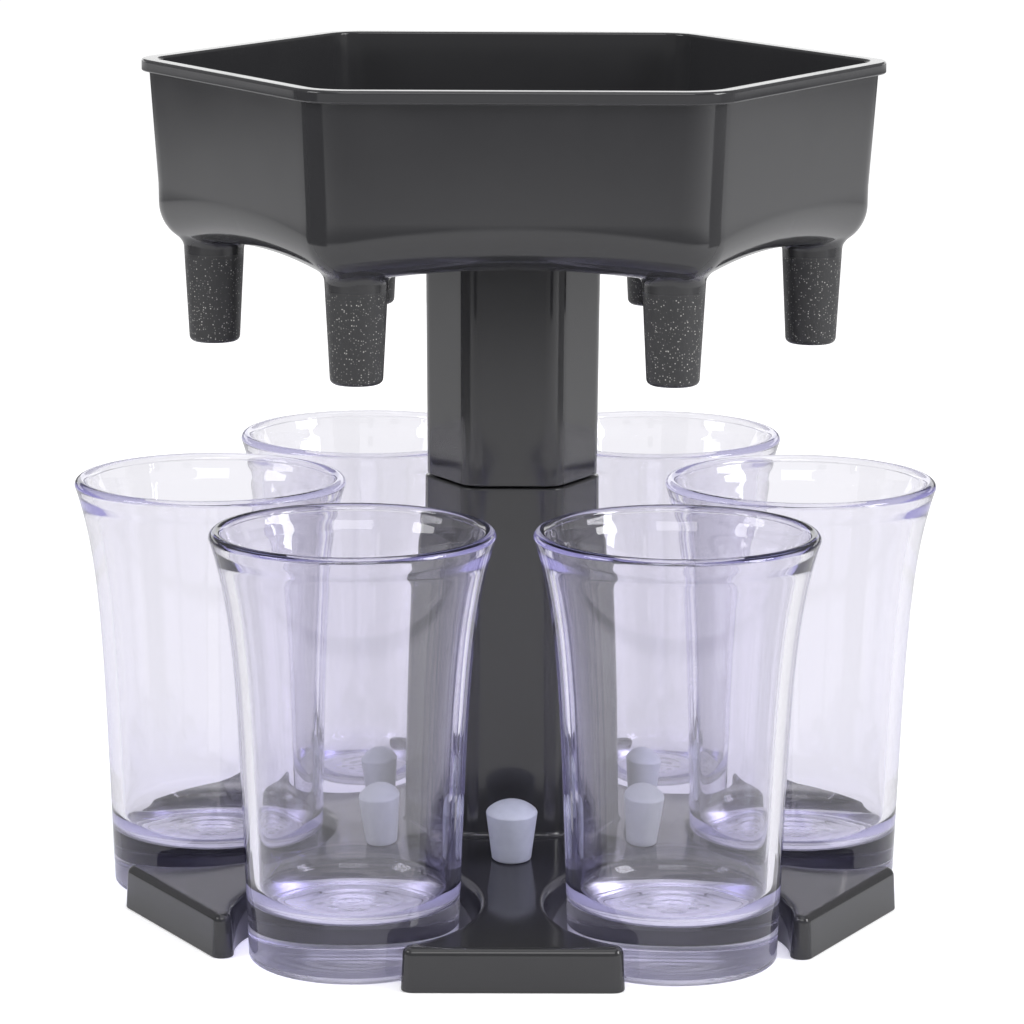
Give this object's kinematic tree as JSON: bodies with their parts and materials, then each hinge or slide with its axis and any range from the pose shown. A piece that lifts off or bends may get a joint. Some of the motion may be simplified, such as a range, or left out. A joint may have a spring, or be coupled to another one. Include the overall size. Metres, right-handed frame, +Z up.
{
  "type": "party shot dispenser",
  "caption": "Hexagonal pouring tray on a hollow column fills a ring of clear flared cups through nozzles under its corners; stoppers stand on the star foot.",
  "frame": {"origin": "on the table, on the axis of the column, at the middle of the foot's underside", "axes": "+Z up along the column, +X to the right seen from the front, through a cup; -Y towards the front, along an arm"},
  "size_m": [0.1525, 0.1412, 0.1476],
  "materials": {
    "charcoal_gloss": "moulded ABS, satin gloss, charcoal grey",
    "nozzle_texture": "the same ABS, spark-eroded speckled texture",
    "clear_cup": "clear polystyrene with a faint violet tint, polished",
    "milky_silicone": "translucent milky silicone"
  },
  "bodies": {
    "base": {"base_foot": "charcoal_gloss", "base_column": "charcoal_gloss"},
    "tray": {"tray_bowl": "charcoal_gloss", "tray_stem": "charcoal_gloss", "tray_nozzle_1": "nozzle_texture", "tray_nozzle_2": "nozzle_texture", "tray_nozzle_3": "nozzle_texture", "tray_nozzle_4": "nozzle_texture", "tray_nozzle_5": "nozzle_texture", "tray_nozzle_6": "nozzle_texture"},
    "cup_1": {"cup_1": "clear_cup"},
    "cup_2": {"cup_2": "clear_cup"},
    "cup_3": {"cup_3": "clear_cup"},
    "cup_4": {"cup_4": "clear_cup"},
    "cup_5": {"cup_5": "clear_cup"},
    "cup_6": {"cup_6": "clear_cup"},
    "stopper_1": {"stopper_1": "milky_silicone"},
    "stopper_2": {"stopper_2": "milky_silicone"},
    "stopper_3": {"stopper_3": "milky_silicone"},
    "stopper_4": {"stopper_4": "milky_silicone"},
    "stopper_5": {"stopper_5": "milky_silicone"},
    "stopper_6": {"stopper_6": "milky_silicone"}
  },
  "joints": [
    {"name": "tray_lift", "type": "slide", "parent": "base", "child": "tray", "axis": [0, 0, 1], "range_m": [0, 0.06]},
    {"name": "cup_1_lift", "type": "slide", "parent": "base", "child": "cup_1", "axis": [0, 0, 1], "range_m": [0, 0.022]},
    {"name": "cup_2_lift", "type": "slide", "parent": "base", "child": "cup_2", "axis": [0, 0, 1], "range_m": [0, 0.022]},
    {"name": "cup_3_lift", "type": "slide", "parent": "base", "child": "cup_3", "axis": [0, 0, 1], "range_m": [0, 0.022]},
    {"name": "cup_4_lift", "type": "slide", "parent": "base", "child": "cup_4", "axis": [0, 0, 1], "range_m": [0, 0.022]},
    {"name": "cup_5_lift", "type": "slide", "parent": "base", "child": "cup_5", "axis": [0, 0, 1], "range_m": [0, 0.022]},
    {"name": "cup_6_lift", "type": "slide", "parent": "base", "child": "cup_6", "axis": [0, 0, 1], "range_m": [0, 0.022]},
    {"name": "stopper_1_lift", "type": "slide", "parent": "base", "child": "stopper_1", "axis": [0, 0, 1], "range_m": [0, 0.06]},
    {"name": "stopper_2_lift", "type": "slide", "parent": "base", "child": "stopper_2", "axis": [0, 0, 1], "range_m": [0, 0.06]},
    {"name": "stopper_3_lift", "type": "slide", "parent": "base", "child": "stopper_3", "axis": [0, 0, 1], "range_m": [0, 0.06]},
    {"name": "stopper_4_lift", "type": "slide", "parent": "base", "child": "stopper_4", "axis": [0, 0, 1], "range_m": [0, 0.06]},
    {"name": "stopper_5_lift", "type": "slide", "parent": "base", "child": "stopper_5", "axis": [0, 0, 1], "range_m": [0, 0.06]},
    {"name": "stopper_6_lift", "type": "slide", "parent": "base", "child": "stopper_6", "axis": [0, 0, 1], "range_m": [0, 0.06]}
  ]
}
